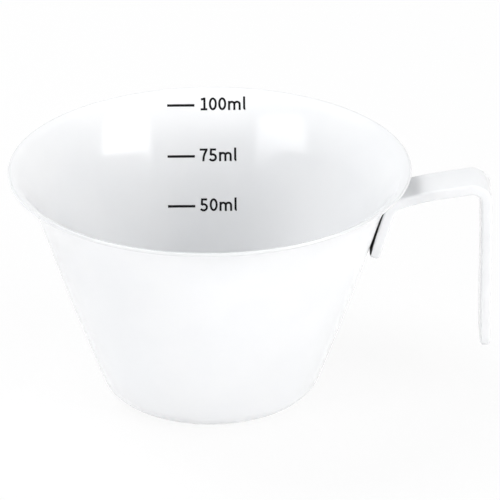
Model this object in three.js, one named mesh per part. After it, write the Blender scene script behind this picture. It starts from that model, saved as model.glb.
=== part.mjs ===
// Conical measuring cup with a flared lip, a welded strip handle and a printed scale inside.
// Millimetres, +Z up. The origin is the centre of the base, on the table.
// The handle points along +X. The scale is on the inner wall at +Y, read by someone at -Y.

import * as THREE from 'three';

// Cup shell. Its sizes are those of the outside, and angles lean out from the vertical.
const RIM_DIAMETER = 78.4;
const CUP_HEIGHT = 46.8;
const WALL = 0.6;
const BASE_FLAT_DIAMETER = 33.4;
const BASE_CORNER_RADIUS = 5;
const WALL_TOP_ANGLE = 17.5;
const SWEEP_RADIUS = 25;
const SWEEP_END_ANGLE = 38;
const FLARE_RADIUS = 3.5;
const LIP_ANGLE = 73;

// Handle strip. Bend radii are those of the inside of the bend, but the arm's is that of its middle.
const STRIP_WIDTH = 9;
const STRIP_THICKNESS = 2.1;
const STRIP_EDGE_RADIUS = 0.45;
const STRIP_END_RADIUS = 0.8;
const TAB_DROP = 12.6;
const TAB_LENGTH = 10.2;
const TAB_GAP = 0.2;
const TAB_BEND_RADIUS = 1.8;
const ARM_START_RISE = 21;
const ARM_END_RISE = 8.8;
const ARM_BEND_RADIUS = 36;
const FINGER_GAP = 13.5;
const GRIP_BEND_RADIUS = 1.8;
const GRIP_END_HEIGHT = 9.9;

// Spot welds in the gap between the tab and the wall. WELD_DROP is from the tab's middle to theirs.
const WELD_DIAMETER = 3;
const WELD_PITCH = 3.6;
const WELD_DROP = 1;
const WELD_CLEARANCE = 0.05;

// Printed scale. The lines start at MARK_LEFT on the X axis and look level from PRINT_TILT above.
const TOP_MARK_DROP = 2.3;
const MARK_PITCH = 9.6;
const MARK_LEFT = -8.4;
const MARK_LENGTH = 5.45;
const MARK_STROKE = 0.43;
const PRINT_TILT = 24.5;
const INK_THICKNESS = 0.1;
const INK_GAP = 0.05;

// Facets
const ROUND_STEPS = 72;
const CORNER_STEPS = 6;
const WALL_STEPS = 6;
const SWEEP_STEPS = 4;
const FLARE_STEPS = 5;
const EDGE_STEPS = 6;
const BEND_STEPS = 9;
const ARM_STEPS = 4;
const STRIP_CORNER_STEPS = 3;
const STRIP_END_STEPS = 4;
const WELD_STEPS = 24;
const MARK_STEPS = 6;

const RIM_RADIUS = RIM_DIAMETER / 2;
const QUARTER_TURN = 90;
const HALF_TURN = 180;

const coatedSteel = new THREE.MeshStandardMaterial({ color: 0xf4f6f8, roughness: 0.22, metalness: 0 });
const coatedStrip = new THREE.MeshStandardMaterial({ color: 0xf3f4f6, roughness: 0.3, metalness: 0 });
const weldMetal = new THREE.MeshStandardMaterial({ color: 0xb9bcc0, roughness: 0.5, metalness: 0.6 });
const blackInk = new THREE.MeshStandardMaterial({ color: 0x161616, roughness: 0.6, metalness: 0 });

const radians = THREE.MathUtils.degToRad;
const degrees = THREE.MathUtils.radToDeg;

// The direction square to a sheet that leans out by an angle, pointing away from the cup's axis.
function outward(lean) {
  return new THREE.Vector2(Math.cos(radians(lean)), -Math.sin(radians(lean)));
}

// A route in a plane, made of straights and arcs as a bender makes them.
// A station is a point and the heading there, in degrees anticlockwise from the first axis.
class Route {
  constructor(start, heading) {
    this.stations = [{ point: start.clone(), heading }];
  }

  get end() {
    return this.stations[this.stations.length - 1];
  }

  arc(length, turn, steps) {
    const stepTurn = turn / steps;
    const half = radians(stepTurn / 2);
    const chord = (length / steps) * (half === 0 ? 1 : Math.sin(half) / half);
    for (let i = 0; i < steps; i += 1) {
      const { point, heading } = this.end;
      const along = radians(heading + stepTurn / 2);
      const next = new THREE.Vector2(Math.cos(along), Math.sin(along)).multiplyScalar(chord).add(point);
      this.stations.push({ point: next, heading: heading + stepTurn });
    }
    return this;
  }

  straight(length) {
    return this.arc(length, 0, 1);
  }

  bend(radius, turn, steps) {
    return this.arc(radius * Math.abs(radians(turn)), turn, steps);
  }

  // The stations' points, moved to the left of the heading by a distance.
  shifted(distance) {
    return this.stations.map(({ point, heading }) => {
      const left = radians(heading + QUARTER_TURN);
      return new THREE.Vector2(Math.cos(left), Math.sin(left)).multiplyScalar(distance).add(point);
    });
  }
}

// Joins rings of points, all of one length, into one closed body with flat ends.
function loft(rings) {
  const sides = rings[0].length;
  const positions = rings.flat().flatMap((point) => point.toArray());
  const triangles = [];
  for (let ring = 0; ring < rings.length - 1; ring += 1) {
    for (let side = 0; side < sides; side += 1) {
      const a = ring * sides + side;
      const b = ring * sides + ((side + 1) % sides);
      triangles.push(a, b, a + sides, b, b + sides, a + sides);
    }
  }
  const last = (rings.length - 1) * sides;
  for (let side = 1; side < sides - 1; side += 1) {
    triangles.push(0, side + 1, side);
    triangles.push(last, last + side, last + side + 1);
  }
  const geometry = new THREE.BufferGeometry();
  geometry.setAttribute('position', new THREE.Float32BufferAttribute(positions, 3));
  geometry.setIndex(triangles);
  return geometry;
}

// The outer face of the cup from the axis to the lip, as radius and height. The wall is one shallow
// arc, so the angle at its foot follows from where the corner and the sweep leave it. The sweep opens
// the wall gently, and the flare turns it over into the lip.
function cupRoute() {
  const edgeCentre = new THREE.Vector2(RIM_RADIUS - WALL / 2, CUP_HEIGHT - WALL / 2);
  const flareCentre = outward(LIP_ANGLE).multiplyScalar(WALL / 2 + FLARE_RADIUS).add(edgeCentre);
  const sweepCentre = outward(SWEEP_END_ANGLE).multiplyScalar(SWEEP_RADIUS - FLARE_RADIUS).add(flareCentre);
  const wallTop = outward(WALL_TOP_ANGLE).multiplyScalar(-SWEEP_RADIUS).add(sweepCentre);
  const cornerCentre = new THREE.Vector2(BASE_FLAT_DIAMETER / 2, BASE_CORNER_RADIUS);
  const settlingRounds = 40;
  let footAngle = WALL_TOP_ANGLE;
  let chord = new THREE.Vector2();
  for (let i = 0; i < settlingRounds; i += 1) {
    const foot = outward(footAngle).multiplyScalar(BASE_CORNER_RADIUS).add(cornerCentre);
    chord = wallTop.clone().sub(foot);
    footAngle = 2 * degrees(Math.atan2(chord.x, chord.y)) - WALL_TOP_ANGLE;
  }
  const wallTurn = footAngle - WALL_TOP_ANGLE;
  const half = radians(wallTurn / 2);
  const wallLength = chord.length() * (half === 0 ? 1 : half / Math.sin(half));
  return new Route(new THREE.Vector2(0, 0), 0)
    .straight(BASE_FLAT_DIAMETER / 2)
    .bend(BASE_CORNER_RADIUS, QUARTER_TURN - footAngle, CORNER_STEPS)
    .arc(wallLength, wallTurn, WALL_STEPS)
    .bend(SWEEP_RADIUS, WALL_TOP_ANGLE - SWEEP_END_ANGLE, SWEEP_STEPS)
    .bend(FLARE_RADIUS, SWEEP_END_ANGLE - LIP_ANGLE, FLARE_STEPS);
}

const outerFace = cupRoute();
const innerFace = outerFace.shifted(WALL);

// Radius and lean of the wall's outer face at a height on the cup.
function wallAt(height) {
  const { stations } = outerFace;
  const next = stations.findIndex(({ point }) => point.y > height);
  const low = stations[next - 1];
  const high = stations[next];
  const share = (height - low.point.y) / (high.point.y - low.point.y);
  return {
    radius: THREE.MathUtils.lerp(low.point.x, high.point.x, share),
    lean: QUARTER_TURN - THREE.MathUtils.lerp(low.heading, high.heading, share),
  };
}

// Radius of the wall's inner face at a height on the cup.
function innerRadiusAt(height) {
  const next = innerFace.findIndex((point) => point.y > height);
  const low = innerFace[next - 1];
  const high = innerFace[next];
  return THREE.MathUtils.mapLinear(height, low.y, high.y, low.x, high.x);
}

// Where the tab lies: the point of the wall behind its middle, and the wall's lean there.
const tabHeight = CUP_HEIGHT - TAB_DROP;
const tabWall = wallAt(tabHeight);
const tabPoint = new THREE.Vector2(tabWall.radius, tabHeight);

function cupShell() {
  const lipEdge = new Route(outerFace.end.point, outerFace.end.heading)
    .bend(WALL / 2, HALF_TURN, EDGE_STEPS);
  const edgePoints = lipEdge.stations.slice(1, -1).map(({ point }) => point);
  const outerPoints = outerFace.stations.map(({ point }) => point);
  const profile = [...outerPoints, ...edgePoints, ...innerFace.toReversed()];
  const turned = new THREE.LatheGeometry(profile, ROUND_STEPS);
  turned.rotateX(Math.PI / 2);
  return turned;
}

// The middle of the strip's thickness, from the tab's lower end to the end of the grip's bend.
function handleRoute(armStraight) {
  const { lean } = tabWall;
  const tabHeading = QUARTER_TURN - lean;
  const upTheTab = new THREE.Vector2(Math.cos(radians(tabHeading)), Math.sin(radians(tabHeading)));
  const start = outward(lean)
    .multiplyScalar(TAB_GAP + STRIP_THICKNESS / 2)
    .add(tabPoint)
    .addScaledVector(upTheTab, -TAB_LENGTH / 2);
  return new Route(start, tabHeading)
    .straight(TAB_LENGTH)
    .bend(TAB_BEND_RADIUS + STRIP_THICKNESS / 2, ARM_START_RISE - tabHeading, BEND_STEPS)
    .bend(ARM_BEND_RADIUS, ARM_END_RISE - ARM_START_RISE, ARM_STEPS)
    .straight(armStraight)
    .bend(GRIP_BEND_RADIUS + STRIP_THICKNESS / 2, -QUARTER_TURN - ARM_END_RISE, BEND_STEPS);
}

// The arm is as long as it takes to leave the finger gap between the rim and the grip, and the grip
// then goes straight down.
function fullHandleRoute() {
  const gripCentre = RIM_RADIUS + FINGER_GAP + STRIP_THICKNESS / 2;
  const noArm = handleRoute(0).end.point.x;
  const reachOfUnitArm = handleRoute(1).end.point.x - noArm;
  const route = handleRoute((gripCentre - noArm) / reachOfUnitArm);
  return route.straight(route.end.point.y - GRIP_END_HEIGHT);
}

// How much a rounded corner has drawn an edge in, at a distance from the strip's end.
function drawnIn(radius, distance) {
  return distance < radius ? radius - Math.sqrt(radius ** 2 - (radius - distance) ** 2) : 0;
}

// The strip's section at a station: a rectangle with rounded corners, drawn in near the strip's end.
function stripSection({ point, heading }, fromEnd) {
  const flatThickness = STRIP_THICKNESS / 2 - drawnIn(STRIP_EDGE_RADIUS, fromEnd) - STRIP_EDGE_RADIUS;
  const flatWidth = STRIP_WIDTH / 2 - drawnIn(STRIP_END_RADIUS, fromEnd) - STRIP_EDGE_RADIUS;
  const left = radians(heading + QUARTER_TURN);
  const ring = [];
  for (const [thicknessSide, widthSide, corner] of [[1, -1, 0], [-1, -1, 1], [-1, 1, 2], [1, 1, 3]]) {
    for (let i = 0; i <= STRIP_CORNER_STEPS; i += 1) {
      const angle = radians(-QUARTER_TURN * (corner + i / STRIP_CORNER_STEPS));
      const u = thicknessSide * flatThickness + STRIP_EDGE_RADIUS * Math.cos(angle);
      const v = widthSide * flatWidth + STRIP_EDGE_RADIUS * Math.sin(angle);
      ring.push(new THREE.Vector3(point.x + u * Math.cos(left), v, point.y + u * Math.sin(left)));
    }
  }
  return ring;
}

// Distances from the strip's end at which it gets a section: first the rounding of its thickness,
// then what is left of the rounding of its width.
function endDistances() {
  const distances = [];
  for (let i = 0; i < STRIP_CORNER_STEPS; i += 1) {
    distances.push(STRIP_EDGE_RADIUS * (1 - Math.cos((Math.PI / 2) * (i / STRIP_CORNER_STEPS))));
  }
  const firstAngle = Math.acos(1 - STRIP_EDGE_RADIUS / STRIP_END_RADIUS);
  for (let i = 0; i <= STRIP_END_STEPS; i += 1) {
    const angle = THREE.MathUtils.lerp(firstAngle, Math.PI / 2, i / STRIP_END_STEPS);
    distances.push(STRIP_END_RADIUS * (1 - Math.cos(angle)));
  }
  return distances;
}

// Stations set back from an end station, along its own heading.
function setBack({ point, heading }, direction) {
  const along = new THREE.Vector2(Math.cos(radians(heading)), Math.sin(radians(heading)));
  return endDistances().map((distance) => ({
    fromEnd: distance,
    station: { point: along.clone().multiplyScalar(direction * distance).add(point), heading },
  }));
}

function handleStrip() {
  const { stations } = fullHandleRoute();
  const tabEnd = setBack(stations[0], 1);
  const gripEnd = setBack(stations[stations.length - 1], -1).reverse();
  const between = stations.slice(1, -1).map((station) => ({ fromEnd: STRIP_END_RADIUS, station }));
  const rings = [...tabEnd, ...between, ...gripEnd].map(({ station, fromEnd }) =>
    stripSection(station, fromEnd));
  return loft(rings);
}

// A weld nugget: a disc that fills the gap between the wall and the tab, square to both.
// The offset is measured up the tab from its middle.
function spotWeld(offset) {
  const thickness = TAB_GAP - 2 * WELD_CLEARANCE;
  const nugget = new THREE.CylinderGeometry(WELD_DIAMETER / 2, WELD_DIAMETER / 2, thickness, WELD_STEPS);
  nugget.rotateZ(-Math.PI / 2);
  nugget.translate(TAB_GAP / 2, 0, offset);
  nugget.rotateY(radians(tabWall.lean));
  nugget.translate(tabPoint.x, 0, tabPoint.y);
  return nugget;
}

// The print lies on the inner wall along the reader's line of sight. A level is the height at which
// that line meets the cup's middle plane. This gives the point at a level, at a distance from the wall.
function printPoint(x, level, inset) {
  const slope = Math.tan(radians(PRINT_TILT));
  const depthAt = (height) => Math.sqrt((innerRadiusAt(height) - inset) ** 2 - x ** 2);
  const halvings = 40;
  let low = BASE_CORNER_RADIUS;
  let high = innerFace[innerFace.length - 1].y;
  for (let i = 0; i < halvings; i += 1) {
    const height = (low + high) / 2;
    if (height + depthAt(height) * slope < level) low = height;
    else high = height;
  }
  return new THREE.Vector3(x, depthAt(low), low);
}

// A printed line: a thin plate on the inner wall, at a height on the cup's middle plane.
function scaleMark(height) {
  const middle = height + innerRadiusAt(height) * Math.tan(radians(PRINT_TILT));
  const halfStroke = MARK_STROKE / 2 / Math.cos(radians(PRINT_TILT));
  const corners = [[-1, 0], [1, 0], [1, 1], [-1, 1]];
  const rings = [];
  for (let i = 0; i <= MARK_STEPS; i += 1) {
    const x = MARK_LEFT + MARK_LENGTH * (i / MARK_STEPS);
    rings.push(corners.map(([up, inwards]) =>
      printPoint(x, middle + up * halfStroke, INK_GAP + inwards * INK_THICKNESS)));
  }
  return loft(rings);
}

const cup = new THREE.Group();

function addPiece(name, geometry, material) {
  geometry.computeVertexNormals();
  const mesh = new THREE.Mesh(geometry, material);
  mesh.name = name;
  cup.add(mesh);
}

addPiece('cup_shell', cupShell(), coatedSteel);
addPiece('handle_strip', handleStrip(), coatedStrip);
addPiece('upper_spot_weld', spotWeld(WELD_PITCH / 2 - WELD_DROP), weldMetal);
addPiece('lower_spot_weld', spotWeld(-WELD_PITCH / 2 - WELD_DROP), weldMetal);
['mark_100', 'mark_75', 'mark_50'].forEach((name, i) => {
  addPiece(name, scaleMark(CUP_HEIGHT - TOP_MARK_DROP - i * MARK_PITCH), blackInk);
});

export default cup;
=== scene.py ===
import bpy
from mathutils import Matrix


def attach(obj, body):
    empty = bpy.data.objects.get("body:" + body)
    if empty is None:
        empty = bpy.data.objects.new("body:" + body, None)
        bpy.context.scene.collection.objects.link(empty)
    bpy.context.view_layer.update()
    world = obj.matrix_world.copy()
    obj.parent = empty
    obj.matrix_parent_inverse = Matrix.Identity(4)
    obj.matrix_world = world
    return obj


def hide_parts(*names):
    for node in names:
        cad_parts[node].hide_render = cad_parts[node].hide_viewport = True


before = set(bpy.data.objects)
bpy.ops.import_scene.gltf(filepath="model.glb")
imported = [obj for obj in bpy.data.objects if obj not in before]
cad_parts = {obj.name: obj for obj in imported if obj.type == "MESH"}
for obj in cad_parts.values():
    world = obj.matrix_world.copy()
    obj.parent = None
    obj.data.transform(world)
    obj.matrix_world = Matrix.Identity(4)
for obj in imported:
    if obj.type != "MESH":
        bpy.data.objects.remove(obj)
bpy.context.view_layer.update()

import math

import bmesh
import bpy
from mathutils import Matrix, Vector

# The cup: a disc of thin steel drawn into a cone with a rounded foot and a lip that flares out, then
# coated white all over. It is made as the drawn sheet: the outer face is traced on the XZ plane,
# spun round the axis and thickened inwards, and the cut edge of the lip is rounded.
MM = 0.001
CUP_HEIGHT = 46.8 * MM
WALL = 0.6 * MM
BASE_FLAT_RADIUS = 16.7 * MM
BASE_CORNER_RADIUS = 5 * MM
WALL_FOOT_LEAN = 20.667
WALL_TOP_LEAN = 17.5
WALL_LENGTH = 35.888 * MM
SWEEP_RADIUS = 25 * MM
SWEEP_END_LEAN = 38
FLARE_RADIUS = 3.5 * MM
LIP_LEAN = 73
LIP_EDGE_ROUNDING = 0.28 * MM
ROUND_STEPS = 256
SEAM_GAP = 0.005 * MM


def arc_moves(heading, length, turn, steps):
    """The moves in X and Z along an arc that turns left by an angle in degrees."""
    step_turn = turn / steps
    half = math.radians(step_turn / 2)
    chord = length / steps * (math.sin(half) / half if half else 1)
    angles = [math.radians(heading + step_turn * (i + 0.5)) for i in range(steps)]
    return [(chord * math.cos(angle), 0, chord * math.sin(angle)) for angle in angles]


def bend_moves(heading, radius, turn, steps):
    """The moves along a bend of a radius that turns left by an angle in degrees."""
    return arc_moves(heading, radius * abs(math.radians(turn)), turn, steps)


def start_piece(name):
    """Names the primitive just added and opens it in edit mode."""
    piece = bpy.context.object
    piece.name = name
    piece.data.name = name
    bpy.ops.object.mode_set(mode="EDIT")
    return piece


def apply_modifier(piece, kind, **settings):
    """Adds a modifier with its settings to the active piece and applies it."""
    modifier = piece.modifiers.new(kind.lower(), kind)
    for name, value in settings.items():
        setattr(modifier, name, value)
    bpy.ops.object.modifier_apply(modifier=modifier.name)


def round_edges(piece, radius):
    """Rounds the sharp edges of the active piece and shades the rest smooth."""
    apply_modifier(
        piece, "BEVEL", width=radius, segments=5, limit_method="ANGLE", angle_limit=math.radians(60)
    )
    bpy.ops.object.shade_smooth_by_angle(angle=math.radians(50))


bpy.ops.object.select_all(action="DESELECT")
bpy.ops.mesh.primitive_plane_add(size=MM)
cup = start_piece("cup")
bpy.ops.mesh.select_all(action="SELECT")
bpy.ops.mesh.merge(type="CENTER")
outline = arc_moves(0, BASE_FLAT_RADIUS, 0, 4)
outline += bend_moves(0, BASE_CORNER_RADIUS, 90 - WALL_FOOT_LEAN, 14)
outline += arc_moves(90 - WALL_FOOT_LEAN, WALL_LENGTH, WALL_FOOT_LEAN - WALL_TOP_LEAN, 28)
outline += bend_moves(90 - WALL_TOP_LEAN, SWEEP_RADIUS, WALL_TOP_LEAN - SWEEP_END_LEAN, 12)
outline += bend_moves(90 - SWEEP_END_LEAN, FLARE_RADIUS, SWEEP_END_LEAN - LIP_LEAN, 12)
outline += arc_moves(90 - LIP_LEAN, WALL / 2, 0, 1)
for move in outline:
    bpy.ops.mesh.extrude_region_move(TRANSFORM_OT_translate={"value": move})
bpy.ops.mesh.select_all(action="SELECT")
bpy.ops.mesh.spin(steps=ROUND_STEPS, angle=math.tau, center=(0, 0, 0), axis=(0, 0, 1))
bpy.ops.mesh.select_all(action="SELECT")
bpy.ops.mesh.remove_doubles(threshold=SEAM_GAP)
bpy.ops.mesh.normals_make_consistent(inside=False)
bpy.ops.object.mode_set(mode="OBJECT")
# The face that lies furthest out is the underside of the lip, so it has to look down.
lip_face = max(cup.data.polygons, key=lambda face: face.center.x)
if lip_face.normal.z > 0:
    cup.data.flip_normals()
apply_modifier(cup, "SOLIDIFY", thickness=WALL, offset=-1, use_even_offset=True)
round_edges(cup, LIP_EDGE_ROUNDING)


class Shade:
    """A socket in a material's nodes. Arithmetic on it adds Math nodes."""

    def __init__(self, tree, socket):
        self.tree = tree
        self.socket = socket

    def node(self, kind, settings=None, inputs=None, output=0):
        """Adds a node with its settings, then the values or links of its inputs, and gives one output."""
        added = self.tree.nodes.new(kind)
        for name, value in (settings or {}).items():
            setattr(added, name, value)
        for name, value in (inputs or {}).items():
            if isinstance(value, Shade):
                self.tree.links.new(value.socket, added.inputs[name])
            else:
                added.inputs[name].default_value = value
        return Shade(self.tree, added.outputs[output])

    def maths(self, operation, first, second):
        return self.node("ShaderNodeMath", {"operation": operation}, {0: first, 1: second})

    def __add__(self, other):
        return self.maths("ADD", self, other)

    def __sub__(self, other):
        return self.maths("SUBTRACT", self, other)

    def __rsub__(self, other):
        return self.maths("SUBTRACT", other, self)

    def __mul__(self, other):
        return self.maths("MULTIPLY", self, other)

    __radd__ = __add__
    __rmul__ = __mul__


def noise(place, size, detail=2, roughness=0.5):
    """A smooth random value from 0 to 1 whose blotches are about a size across, in metres."""
    return place.node("ShaderNodeTexNoise", None,
                      {"Vector": place, "Scale": 1 / size, "Detail": detail, "Roughness": roughness})


def band(value, low, high):
    """0 where the value is below low, 1 where it is above high, and smooth between them."""
    return value.node("ShaderNodeMapRange", {"interpolation_type": "SMOOTHSTEP"},
                      {"Value": value, "From Min": low, "From Max": high})


def blended(factor, first, second):
    """The first colour where the factor is 0 and the second where it is 1."""
    return factor.node("ShaderNodeMix", {"data_type": "RGBA"}, {0: factor, 6: first, 7: second}, output=2)


def new_material(name):
    """A material with its Principled shader and the object coordinates that its patterns read."""
    material = bpy.data.materials.new(name)
    material.use_nodes = True
    tree = material.node_tree
    shader = tree.nodes["Principled BSDF"]
    place = Shade(tree, tree.nodes.new("ShaderNodeTexCoord").outputs["Object"])
    return material, shader, place


def bumped(height):
    """The normal of a surface with a relief, from the relief's height in metres."""
    return height.node("ShaderNodeBump", None, {"Strength": 1.0, "Distance": 1.0, "Height": height})


def feed(shader, place, inputs):
    """Links patterns to the shader's inputs of those names."""
    for name, value in inputs.items():
        place.tree.links.new(value.socket, shader.inputs[name])


def within(value, low, high, soft):
    """1 where the value is between two limits, 0 where it is outside them, and smooth at both."""
    return band(value, low - soft, low + soft) * (1 - band(value, high - soft, high + soft))


TAB_START = Vector((31.7998, 0, 28.9618)) * MM
TAB_HEADING = 72.227
TAB_LENGTH = 10.2 * MM
# The extent of the near-black painted shade in the gap between the tab and the wall.
GAP_SHADE_START = 0.2 * MM
GAP_SHADE_HALF_WIDTH_LOW = 4.6 * MM
GAP_SHADE_HALF_WIDTH_HIGH = 3.6 * MM
GAP_SHADE_INNER = -1.7 * MM
GAP_SHADE_OUTER = -0.8 * MM
GAP_SHADE_EDGE = 0.1 * MM


def behind_tab(place):
    """1 in the narrow gap between the handle's tab and the wall, on the faces of both, where a near-black
    painted shade stands for the dark gap. It narrows up the tab, and its depth is measured outwards from the
    tab's middle."""
    heading = math.radians(TAB_HEADING)
    up_the_tab = Vector((math.cos(heading), 0, math.sin(heading)))
    off_the_wall = Vector((math.sin(heading), 0, -math.cos(heading)))
    along, off = (
        place.node("ShaderNodeVectorMath", {"operation": "DOT_PRODUCT"}, {0: place, 1: way}, output=1)
        - TAB_START.dot(way) for way in (up_the_tab, off_the_wall)
    )
    across = place.node("ShaderNodeSeparateXYZ", None, {"Vector": place}, output=1)
    half_width = along.node("ShaderNodeMapRange", None, {
        "Value": along, "From Min": 0.0, "From Max": TAB_LENGTH,
        "To Min": GAP_SHADE_HALF_WIDTH_LOW, "To Max": GAP_SHADE_HALF_WIDTH_HIGH,
    })
    past_side = across.maths("ABSOLUTE", across, 0) - half_width
    covered = 1 - band(past_side, -GAP_SHADE_EDGE, GAP_SHADE_EDGE)
    in_length = within(along, GAP_SHADE_START, TAB_LENGTH, GAP_SHADE_EDGE)
    in_depth = within(off, GAP_SHADE_INNER, GAP_SHADE_OUTER, GAP_SHADE_EDGE / 2)
    return covered * in_length * in_depth


def lip_edge_shade_mask(place):
    """1 on the cut edge of the cup's lip, which gets a painted shade so that its strong light renders no
    brighter than the wall.
    """
    flat = place.node("ShaderNodeVectorMath", {"operation": "MULTIPLY"}, {0: place, 1: (1, 1, 0)})
    radius = flat.node("ShaderNodeVectorMath", {"operation": "LENGTH"}, {0: flat}, output=1)
    return band(radius, LIP_SHADE_RADIUS - LIP_SHADE_SOFTNESS, LIP_SHADE_RADIUS + LIP_SHADE_SOFTNESS)


def white_coat(name, peel, painted_shade_mask=None):
    """Sprayed and baked white enamel. Its colour drifts a little, and it has an orange peel of a height in
    metres.
    Where a mask is given it takes a painted shade, and in the gap behind the tab it is painted near black as
    shade."""
    material, shader, place = new_material(name)
    drift = band(noise(place, DRIFT_SIZE), 0.35, 0.65)
    cloud = noise(place, CLOUD_SIZE, detail=3)
    ripple = noise(place, RIPPLE_SIZE, detail=1)
    grain = noise(place, GRAIN_SIZE, detail=2)
    height = ripple * peel + grain * (peel * GRAIN_SHARE)
    # Painted shade: near black in the gap between the tab and the wall.
    gap_shade = behind_tab(place)
    coat = blended(drift, COAT_WHITE, COAT_WHITE_DRIFT)
    # Painted shade on the lip's cut edge, where a mask is given.
    if painted_shade_mask:
        coat = blended(painted_shade_mask(place), coat, LIP_EDGE_PAINTED_SHADE)
    feed(shader, place, {
        "Base Color": blended(gap_shade, coat, GAP_PAINTED_SHADE),
        "Roughness": COAT_ROUGHNESS + cloud * CLOUD_ROUGHNESS + gap_shade * GAP_SHADE_ROUGHNESS,
        "Normal": bumped(height),
    })
    return material


COAT_WHITE = (0.868, 0.874, 0.883, 1)
COAT_WHITE_DRIFT = (0.852, 0.860, 0.872, 1)
# Painted shade: the darker white of the lip's cut edge, which offsets the strong light that falls on it.
LIP_EDGE_PAINTED_SHADE = (0.79, 0.797, 0.807, 1)
# Painted shade: the near-black colour and rougher finish of the gap behind the tab.
GAP_PAINTED_SHADE = (0.02, 0.019, 0.018, 1)
COAT_ROUGHNESS = 0.11
CLOUD_ROUGHNESS = 0.06
GAP_SHADE_ROUGHNESS = 0.4
DRIFT_SIZE = 14 * MM
CLOUD_SIZE = 3.5 * MM
RIPPLE_SIZE = 1.6 * MM
GRAIN_SIZE = 0.25 * MM
GRAIN_SHARE = 0.06
# Where the painted shade on the lip's edge begins, and how softly it comes in.
LIP_SHADE_RADIUS = 38.75 * MM
LIP_SHADE_SOFTNESS = 0.1 * MM
SHELL_PEEL = 0.0035 * MM
cup.data.materials.append(white_coat("shell_coat", SHELL_PEEL, painted_shade_mask=lip_edge_shade_mask))
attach(cup, "root")
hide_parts("cup_shell")

# The handle: one flat steel strip bent into a tab that lies against the wall, an arm that rises away
# from it and a grip that hangs down with a free end. It is made as a ribbon along the middle of the
# strip, thickened both ways, with its corners cut round and all its edges eased, and coated white.
STRIP_WIDTH = 9 * MM
STRIP_THICKNESS = 2.1 * MM
STRIP_EDGE_ROUNDING = 0.45 * MM
STRIP_CORNER_RADIUS = 0.8 * MM
TAB_BEND_RADIUS = 2.85 * MM
ARM_START_RISE = 21
ARM_END_RISE = 8.8
ARM_BEND_RADIUS = 36 * MM
ARM_STRAIGHT = 6.5413 * MM
GRIP_BEND_RADIUS = 2.85 * MM
GRIP_LENGTH = 30.7174 * MM
SAME_PLACE = 0.01 * MM

route = arc_moves(TAB_HEADING, TAB_LENGTH, 0, 4)
route += bend_moves(TAB_HEADING, TAB_BEND_RADIUS, ARM_START_RISE - TAB_HEADING, 14)
route += bend_moves(ARM_START_RISE, ARM_BEND_RADIUS, ARM_END_RISE - ARM_START_RISE, 10)
route += arc_moves(ARM_END_RISE, ARM_STRAIGHT, 0, 3)
route += bend_moves(ARM_END_RISE, GRIP_BEND_RADIUS, -90 - ARM_END_RISE, 20)
route += arc_moves(-90, GRIP_LENGTH, 0, 12)

bpy.ops.object.select_all(action="DESELECT")
bpy.ops.mesh.primitive_plane_add(size=STRIP_WIDTH, location=(0, 0, 0))
strip = start_piece("handle")
bpy.ops.mesh.select_all(action="SELECT")
first_step = Vector(route[0])
bpy.ops.transform.resize(value=(first_step.length / STRIP_WIDTH, 1, 1))
bpy.ops.transform.rotate(value=math.radians(TAB_HEADING), orient_axis="Y", center_override=(0, 0, 0))
bpy.ops.transform.translate(value=TAB_START + first_step / 2)


def select_where(piece, elements, test):
    """Selects, in edit mode, only those vertices, edges or faces that pass a test."""
    bpy.ops.mesh.select_all(action="DESELECT")
    mesh = bmesh.from_edit_mesh(piece.data)
    for element in getattr(mesh, elements):
        if test(element):
            element.select_set(True)
    mesh.select_flush_mode()
    bmesh.update_edit_mesh(piece.data)


def middle(element):
    """The mean place of an edge's or a face's vertices."""
    return sum((vertex.co for vertex in element.verts), Vector()) / len(element.verts)


leading_edge = TAB_START + first_step
select_where(strip, "verts", lambda vertex: (vertex.co.xz - leading_edge.xz).length < SAME_PLACE)
for move in route[1:]:
    bpy.ops.mesh.extrude_region_move(TRANSFORM_OT_translate={"value": move})
bpy.ops.object.mode_set(mode="OBJECT")
apply_modifier(strip, "SOLIDIFY", thickness=STRIP_THICKNESS, offset=0, use_even_offset=True)
route_ends = [TAB_START, TAB_START + sum(map(Vector, route), Vector())]


def is_corner(edge):
    """Whether an edge runs through the strip's thickness at one of its four corners."""
    place = middle(edge)
    first, last = edge.verts
    runs_through = abs(first.co.y - last.co.y) < SAME_PLACE
    at_side = abs(place.y) > 0.4 * STRIP_WIDTH
    at_end = any((place.xz - end.xz).length < SAME_PLACE for end in route_ends)
    return runs_through and at_side and at_end


bpy.ops.object.mode_set(mode="EDIT")
select_where(strip, "edges", is_corner)
bpy.ops.mesh.bevel(offset=STRIP_CORNER_RADIUS, segments=8, affect="EDGES")
bpy.ops.object.mode_set(mode="OBJECT")
round_edges(strip, STRIP_EDGE_ROUNDING)
STRIP_PEEL = 0.003 * MM
strip.data.materials.append(white_coat("strip_coat", STRIP_PEEL))
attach(strip, "root")
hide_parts("handle_strip")

# The spot welds: two nuggets of steel fused between the tab and the wall before the coating went on.
# They keep the CAD discs and get a burnt and mottled weld metal.
WELD_BRIGHT = (0.42, 0.42, 0.43, 1)
WELD_BURNT = (0.16, 0.13, 0.11, 1)
BURN_SIZE = 1.1 * MM
PIT_SIZE = 0.2 * MM
PIT_DEPTH = 0.01 * MM
weld_metal, shader, place = new_material("weld_metal")
burn = band(noise(place, BURN_SIZE, detail=4, roughness=0.6), 0.35, 0.7)
pits = noise(place, PIT_SIZE, detail=3)
feed(shader, place, {
    "Base Color": blended(burn, WELD_BRIGHT, WELD_BURNT),
    "Roughness": 0.35 + burn * 0.3,
    "Normal": bumped(pits * PIT_DEPTH),
})
shader.inputs["Metallic"].default_value = 1.0
for node_name in ("upper_spot_weld", "lower_spot_weld"):
    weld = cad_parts[node_name]
    weld.data.materials.clear()
    weld.data.materials.append(weld_metal)

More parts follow.
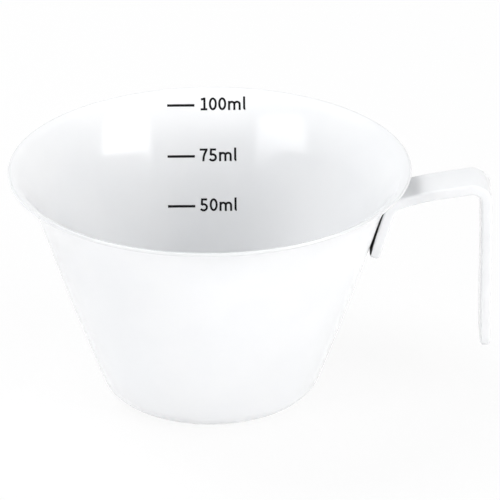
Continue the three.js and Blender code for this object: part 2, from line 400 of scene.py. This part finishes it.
# The scale: three lines and their numerals, printed on the coat of the far inner wall in black ink.
# It is drawn flat in millimetres with a broad nib, one curve for the lines and one for the lettering,
# and laid on the wall along the sight line of someone who reads it, so it looks level from there.
PRINT_TILT = math.radians(24.5)
LINE_LEVELS = {"100ml": 60.52, "75ml": 49.33, "50ml": 38.38}
LINE_LEFT = -8.4
LINE_LENGTH = 5.45
LINE_NIB = 0.49
TEXT_LEFT = -1.93
TEXT_DROP = 1.0
DIGIT_HEIGHT = 2.54
DIGIT_CELL = 0.737
TEXT_NIB = 0.415
NIB_STEP = 0.4
INK_THICKNESS = 0.02
INK_LIFT = 0.012
SAME_POINT = 0.001
MERGE_DISTANCE = 0.0015


def bow(centre, radii, start, end, steps=14):
    """Points on an ellipse between two angles in degrees, in digit heights."""
    angles = [math.radians(start + (end - start) * i / steps) for i in range(steps + 1)]
    return [(centre[0] + radii[0] * math.cos(a), centre[1] + radii[1] * math.sin(a)) for a in angles]


STROKES = {
    "0": [bow((0.31, 0.5), (0.232, 0.42), 90, 450, 40)],
    "1": [[(0.115, 0.85), (0.37, 0.915)], [(0.385, 1.0), (0.385, 0.03)], [(0.085, 0.075), (0.605, 0.075)]],
    "5": [[(0.53, 0.92), (0.055, 0.92)], [(0.137, 0.95), (0.112, 0.47)],
          bow((0.258, 0.3), (0.252, 0.24), 130, -152, 26)],
    "7": [[(-0.02, 0.92), (0.6, 0.92)], [(0.52, 0.9), (0.44, 0.74), (0.35, 0.54), (0.29, 0.33), (0.26, 0.0)]],
    "m": [[(0.11, 0.72), (0.11, 0.0)],
          [(0.11, 0.5), *bow((0.325, 0.47), (0.2, 0.175), 150, 0), (0.525, 0.0)],
          [(0.525, 0.5), *bow((0.74, 0.47), (0.2, 0.175), 150, 0), (0.94, 0.0)]],
    "l": [[(0.085, 1.06), (0.085, 0.17), *bow((0.175, 0.17), (0.09, 0.095), 180, 275, 6)]],
}
ADVANCES = {"m": 1.21, "l": 0.3}


def fine(points, longest):
    """The points of a stroke with more put in, so that no step is longer than a length."""
    finer = [points[0]]
    for start, end in zip(points, points[1:]):
        count = max(1, math.ceil(math.dist(start, end) / longest))
        finer += [tuple(a + (b - a) * i / count for a, b in zip(start, end)) for i in range(1, count + 1)]
    return finer


def drawn(name, nib_width, strokes):
    """A print drawn flat on the XY plane: a rectangular nib swept along each stroke, made a mesh, and
    the strokes joined into one closed skin."""
    nib = bpy.data.curves.new(name + "_nib", "CURVE")
    nib_outline = nib.splines.new("POLY")
    nib_outline.points.add(3)
    corners = [(-1, 0), (1, 0), (1, 1), (-1, 1)]
    for point, (side, up) in zip(nib_outline.points, corners):
        point.co = (side * nib_width / 2, up * INK_THICKNESS, 0, 1)
    nib_outline.use_cyclic_u = True
    nib_object = bpy.data.objects.new(name + "_nib", nib)
    bpy.context.scene.collection.objects.link(nib_object)
    curve = bpy.data.curves.new(name, "CURVE")
    curve.dimensions = "3D"
    curve.twist_mode = "Z_UP"
    curve.bevel_mode = "OBJECT"
    curve.bevel_object = nib_object
    curve.use_fill_caps = True
    for stroke in strokes:
        closed = math.dist(stroke[0], stroke[-1]) < SAME_POINT
        points = fine(stroke, NIB_STEP)[:-1 if closed else None]
        spline = curve.splines.new("POLY")
        spline.points.add(len(points) - 1)
        for spline_point, (x, y) in zip(spline.points, points):
            spline_point.co = (x, y, 0, 1)
        spline.use_cyclic_u = closed
    drawing = bpy.data.objects.new(name, curve)
    bpy.context.scene.collection.objects.link(drawing)
    bpy.ops.object.select_all(action="DESELECT")
    drawing.select_set(True)
    bpy.context.view_layer.objects.active = drawing
    bpy.ops.object.convert(target="MESH")
    bpy.data.objects.remove(nib_object)
    drawing = bpy.context.object
    bpy.ops.object.mode_set(mode="EDIT")
    bpy.ops.mesh.select_all(action="SELECT")
    bpy.ops.mesh.remove_doubles(threshold=SAME_POINT)
    bpy.ops.mesh.normals_make_consistent(inside=False)
    bpy.ops.mesh.intersect_boolean(operation="UNION", use_self=True, solver="EXACT")
    bpy.ops.mesh.select_all(action="SELECT")
    bpy.ops.mesh.remove_doubles(threshold=MERGE_DISTANCE)
    bpy.ops.mesh.dissolve_degenerate(threshold=SAME_POINT)
    bpy.ops.mesh.quads_convert_to_tris(quad_method="BEAUTY", ngon_method="BEAUTY")
    bpy.ops.mesh.select_all(action="SELECT")
    bpy.ops.mesh.delete_loose()
    bpy.ops.object.mode_set(mode="OBJECT")
    return drawing


def lay_on_wall(drawing):
    """Moves each vertex along the reader's sight line to the inner wall, and lifts it by its thickness."""
    sight = Vector((0, math.cos(PRINT_TILT), -math.sin(PRINT_TILT)))
    for vertex in drawing.data.vertices:
        level = vertex.co.y / math.cos(PRINT_TILT)
        _, place, normal, _ = cup.ray_cast(Vector((vertex.co.x, 0, level)) * MM, sight)
        vertex.co = place + normal * (INK_LIFT + vertex.co.z) * MM


def text_strokes(text, left, base):
    """The strokes of a text that starts at a left edge and stands on a base line, in millimetres."""
    for letter in text:
        for stroke in STROKES[letter]:
            yield [(left + x * DIGIT_HEIGHT, base + y * DIGIT_HEIGHT) for x, y in stroke]
        left += ADVANCES.get(letter, DIGIT_CELL) * DIGIT_HEIGHT


line_heights = {text: level * math.cos(PRINT_TILT) for text, level in LINE_LEVELS.items()}
lines = drawn("scale_lines", LINE_NIB, [
    [(LINE_LEFT, y), (LINE_LEFT + LINE_LENGTH, y)] for y in line_heights.values()
])
lettering = drawn("scale_lettering", TEXT_NIB, [
    stroke for text, y in line_heights.items() for stroke in text_strokes(text, TEXT_LEFT, y - TEXT_DROP)
])
INK_DARK = (0.005, 0.005, 0.0055, 1)
INK_WORN = (0.012, 0.012, 0.013, 1)
INK_PATCH_SIZE = 0.5 * MM
INK_RELIEF = 0.003 * MM
ink, shader, place = new_material("scale_ink")
patches = noise(place, INK_PATCH_SIZE, detail=3)
shader.inputs["Specular IOR Level"].default_value = 0.1
feed(shader, place, {
    "Base Color": blended(patches, INK_DARK, INK_WORN),
    "Roughness": 0.5 + patches * 0.2,
    "Normal": bumped(patches * INK_RELIEF),
})
for drawing in (lines, lettering):
    lay_on_wall(drawing)
    drawing.data.materials.append(ink)
    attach(drawing, "root")
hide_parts("mark_100", "mark_75", "mark_50")

# The table: a plain white sheet under the cup, a hair below its base so that the two faces do not
# share a plane. Only the camera and reflections see it brighter.
TABLE_SIDE = 12
TABLE_LEVEL = -0.05 * MM
bpy.ops.object.select_all(action="DESELECT")
bpy.ops.mesh.primitive_plane_add(size=TABLE_SIDE, location=(0, 0, TABLE_LEVEL))
table = bpy.context.object
table.name = "table"
TABLE_GLOW = 0.9
TABLE_WHITE = (0.9, 0.9, 0.905, 1)


def seen_directly(tree):
    """1 for camera, glossy and transmission rays, 0 for the others."""
    path = tree.nodes.new("ShaderNodeLightPath")
    camera, glossy, through = (Shade(tree, path.outputs[kind])
                               for kind in ("Is Camera Ray", "Is Glossy Ray", "Is Transmission Ray"))
    return through.maths("MAXIMUM", camera.maths("MAXIMUM", camera, glossy), through)


table_material = bpy.data.materials.new("table_white")
table_material.use_nodes = True
tree = table_material.node_tree
tree.nodes.remove(tree.nodes["Principled BSDF"])
seen = seen_directly(tree)
paper = seen.node("ShaderNodeBsdfDiffuse", None, {"Color": TABLE_WHITE})
glow = seen.node("ShaderNodeEmission", None, {"Strength": 1.0})
both = seen.node("ShaderNodeMixShader", None, {0: seen * TABLE_GLOW, 1: paper, 2: glow})
tree.links.new(both.socket, tree.nodes["Material Output"].inputs["Surface"])
table.data.materials.append(table_material)

# The light: a dim white room, a tall soft box on either side of the camera, which show as the bright
# patches on the far wall, and lamps that reflections do not see: two high behind on the left for the
# lip's shadow on the handle, one overhead, two at the handle's side and a low strip in front.
ROOM_LIGHT = 0.2
ROOM_WHITE = (0.97, 0.985, 1, 1)
world = bpy.data.worlds.new("room")
bpy.context.scene.world = world
world.use_nodes = True
tree = world.node_tree
background = tree.nodes["Background"]
room_strength = seen_directly(tree) * (1 - ROOM_LIGHT) + ROOM_LIGHT
tree.links.new(room_strength.socket, background.inputs["Strength"])
background.inputs["Color"].default_value = ROOM_WHITE


def towards(azimuth, elevation):
    """A direction as seen from the cup. Azimuth 0 is over the camera and 90 is at the handle's side."""
    turn, rise = math.radians(azimuth), math.radians(elevation)
    return Vector((math.sin(turn) * math.cos(rise), -math.cos(turn) * math.cos(rise), math.sin(rise)))


def soft_box(name, azimuth, elevation, distance, width, height, radiance, back_tilt=None, colour=(1, 1, 1)):
    """A rectangular lamp at a distance from the cup's rim. It faces the rim, or stands and leans back
    by an angle."""
    light = bpy.data.lights.new(name, "AREA")
    light.shape = "RECTANGLE"
    light.size = width
    light.size_y = height
    light.energy = radiance * math.pi * width * height
    light.color = colour
    lamp = bpy.data.objects.new(name, light)
    facing = towards(azimuth, elevation if back_tilt is None else -back_tilt)
    lamp.matrix_world = (
        Matrix.Translation(towards(azimuth, elevation) * distance + Vector((0, 0, CUP_HEIGHT)))
        @ facing.to_track_quat("Z", "Y").to_matrix().to_4x4()
    )
    lamp.visible_camera = False
    bpy.context.scene.collection.objects.link(lamp)
    return lamp


BOX_ELEVATION = 23.3
BOX_DISTANCE = 1.148
BOX_HEIGHT = 0.9
BOX_TILT = 20
for name, azimuth, width, radiance, colour in (
    ("right_box", 58.2, 0.62, 5.6, (1, 0.99, 0.98)),
    ("left_box", -50, 0.64, 3.4, (1, 1, 1)),
):
    soft_box(name, azimuth, BOX_ELEVATION, BOX_DISTANCE, width, BOX_HEIGHT, radiance, BOX_TILT, colour)
FILL_DISTANCE = 1.0
for name, azimuth, elevation, side, radiance in (
    ("back_box", -120, 48, 0.42, 3.9),
    ("high_back_box", -120, 65, 0.42, 6.8),
    ("top_box", 0, 75, 0.5, 1.25),
    ("handle_side_box", 90, 45, 0.42, 1.1),
    ("low_side_box", 80, 20, 0.42, 0.5),
):
    soft_box(name, azimuth, elevation, FILL_DISTANCE, side, side, radiance).visible_glossy = False
low_fill = soft_box("low_fill", azimuth=0, elevation=2, distance=0.9, width=0.9, height=0.14, radiance=1.7)
low_fill.visible_glossy = False

# The camera: a long lens about 1.2 metres away that looks down from in front, with the slight turn
# and roll of the photograph.
CAMERA_PLACE = Vector((0, -1060.25, 529.96)) * MM
CAMERA_TURN = -0.418
CAMERA_DIP = 25.287
CAMERA_ROLL = -0.2996
camera_data = bpy.data.cameras.new("camera")
camera_data.sensor_width = 36
camera_data.lens = 432
camera_data.clip_end = 20
camera = bpy.data.objects.new("camera", camera_data)
bpy.context.scene.collection.objects.link(camera)
camera.matrix_world = (
    Matrix.Translation(CAMERA_PLACE)
    @ Matrix.Rotation(math.radians(CAMERA_TURN), 4, "Z")
    @ Matrix.Rotation(math.radians(90 - CAMERA_DIP), 4, "X")
    @ Matrix.Rotation(math.radians(CAMERA_ROLL), 4, "Z")
)
bpy.context.scene.camera = camera
bpy.context.scene.view_settings.view_transform = "Standard"
